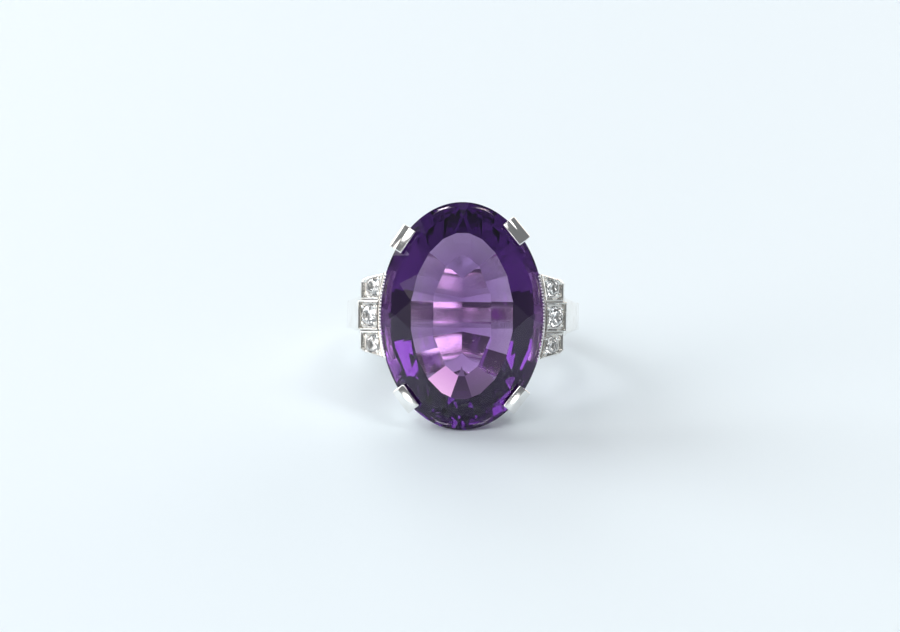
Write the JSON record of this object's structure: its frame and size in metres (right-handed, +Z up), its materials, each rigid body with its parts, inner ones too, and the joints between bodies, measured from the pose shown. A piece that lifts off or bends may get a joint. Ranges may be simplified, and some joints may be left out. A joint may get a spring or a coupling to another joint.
{
  "type": "cocktail ring",
  "caption": "Cocktail ring with a large oval amethyst in wide claws and a row of small diamonds in square boxes on each shoulder.",
  "frame": {"origin": "on the surface that the ring lies on, below the centre of its bounding box", "axes": "+Z up; +X across the shoulders, towards the wearer's right as the stone is looked at; the stone faces -Y and slightly up"},
  "size_m": [0.0192, 0.027, 0.0172],
  "materials": {
    "white_gold": "polished white gold with light wear",
    "amethyst": "polished facets",
    "diamond": "polished facets"
  },
  "bodies": {
    "root": {"shank": "white_gold", "shoulder_arm_left": "white_gold", "shoulder_arm_right": "white_gold", "side_wall_left": "white_gold", "side_wall_right": "white_gold", "box_left_upper": "white_gold", "box_left_middle": "white_gold", "box_left_lower": "white_gold", "box_right_upper": "white_gold", "box_right_middle": "white_gold", "box_right_lower": "white_gold", "diamond_left_upper": "diamond", "diamond_left_middle": "diamond", "diamond_left_lower": "diamond", "diamond_right_upper": "diamond", "diamond_right_middle": "diamond", "diamond_right_lower": "diamond", "claw_upper_left": "white_gold", "claw_upper_right": "white_gold", "claw_lower_left": "white_gold", "claw_lower_right": "white_gold", "bearing_rail": "white_gold", "base_rail": "white_gold", "amethyst": "amethyst"}
  },
  "joints": []
}
